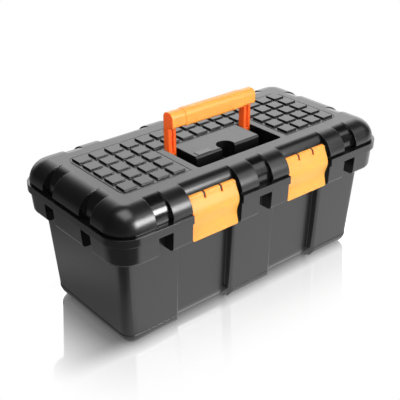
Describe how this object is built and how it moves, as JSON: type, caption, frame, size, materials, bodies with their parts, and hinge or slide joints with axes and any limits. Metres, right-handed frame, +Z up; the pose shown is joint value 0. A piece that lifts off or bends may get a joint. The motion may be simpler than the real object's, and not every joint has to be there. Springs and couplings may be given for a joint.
{
  "type": "toolbox with tray",
  "caption": "Black moulded toolbox with a domed hinged lid, square tread pads, folding orange carry handle, orange snap latches and a lift-out compartment tray.",
  "frame": {"origin": "middle of the footprint, on the surface the box stands on", "axes": "+X along the box, to the right of someone facing its latches; the latches face -Y; +Z up"},
  "size_m": [0.492, 0.2434, 0.2755],
  "materials": {
    "body_plastic": "polished black polypropylene",
    "tray_plastic": "fine-grained dark grey polypropylene",
    "orange_plastic": "satin orange polypropylene",
    "steel": "bright drawn wire"
  },
  "bodies": {
    "box": {"tub": "body_plastic", "hinge_pin_left": "steel", "hinge_pin_right": "steel"},
    "cover": {"lid": "body_plastic", "latch_pin_left": "steel", "latch_pin_right": "steel", "handle_pin_left": "steel", "handle_pin_right": "steel"},
    "handle": {"carry_handle": "orange_plastic"},
    "left_latch": {"latch_left": "orange_plastic"},
    "right_latch": {"latch_right": "orange_plastic"},
    "inset_tray": {"tray": "tray_plastic"}
  },
  "joints": [
    {"name": "lid_hinge", "type": "hinge", "parent": "box", "child": "cover", "pos_m": [0, 0.1172, 0.1915], "axis": [-1, 0, 0], "range_deg": [0, 100]},
    {"name": "handle_fold", "type": "hinge", "parent": "cover", "child": "handle", "pos_m": [0, 0.002, 0.2069], "axis": [1, 0, 0], "range_deg": [0, 90]},
    {"name": "latch_left_swing", "type": "hinge", "parent": "cover", "child": "left_latch", "pos_m": [-0.0863, -0.1045, 0.2009], "axis": [-1, 0, 0], "range_deg": [0, 100]},
    {"name": "latch_right_swing", "type": "hinge", "parent": "cover", "child": "right_latch", "pos_m": [0.0863, -0.1045, 0.2009], "axis": [-1, 0, 0], "range_deg": [0, 100]},
    {"name": "tray_lift", "type": "slide", "parent": "box", "child": "inset_tray", "axis": [0, 0, 1], "range_m": [0, 0.022]}
  ]
}
